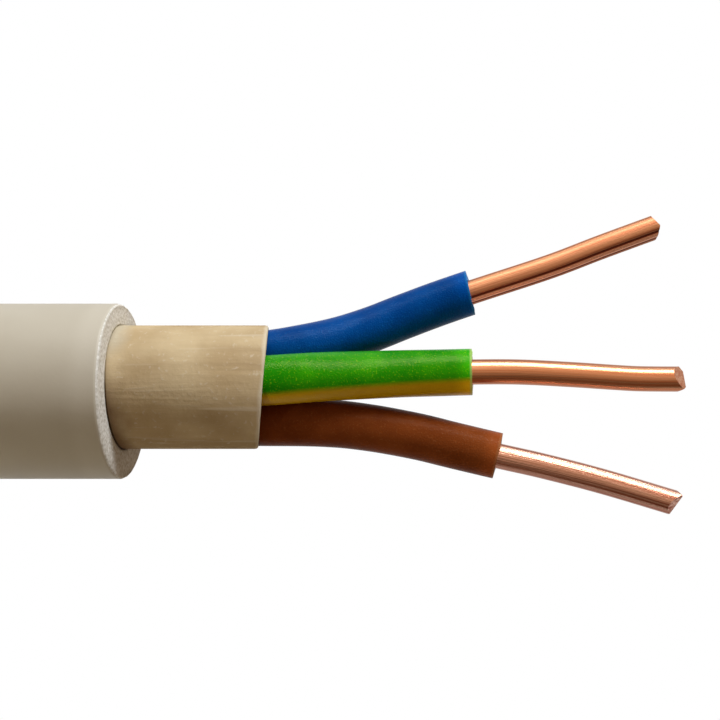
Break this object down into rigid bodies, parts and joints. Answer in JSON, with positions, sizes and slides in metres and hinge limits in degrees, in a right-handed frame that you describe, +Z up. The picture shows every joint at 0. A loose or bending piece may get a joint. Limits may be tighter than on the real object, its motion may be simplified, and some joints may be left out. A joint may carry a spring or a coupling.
{
  "type": "coil of three-core sheathed installation cable",
  "caption": "Strapped round coil of grey sheathed electrical cable lying flat, its straight outer end stripped to the bedding, coloured core insulation and solid copper conductors.",
  "frame": {"origin": "on the floor, under the middle of the object's box", "axes": "+Z up along the coil's axis, +X along the straight tail towards the stripped end, +Y from the coil's axis towards the tail"},
  "size_m": [0.1888, 0.178, 0.0482],
  "materials": {
    "sheath": "satin",
    "bedding": "matte",
    "insulation_blue": "satin",
    "insulation_green_yellow": "satin",
    "insulation_brown": "satin",
    "copper": "bright drawn copper",
    "strap": "smooth"
  },
  "bodies": {
    "root": {"cable_coil": "sheath", "cable_tail": "sheath", "bedding": "bedding", "insulation_blue": "insulation_blue", "insulation_green_yellow": "insulation_green_yellow", "insulation_brown": "insulation_brown", "conductor_blue": "copper", "conductor_green_yellow": "copper", "conductor_brown": "copper", "strap_1": "strap", "strap_2": "strap", "strap_3": "strap"}
  },
  "joints": []
}
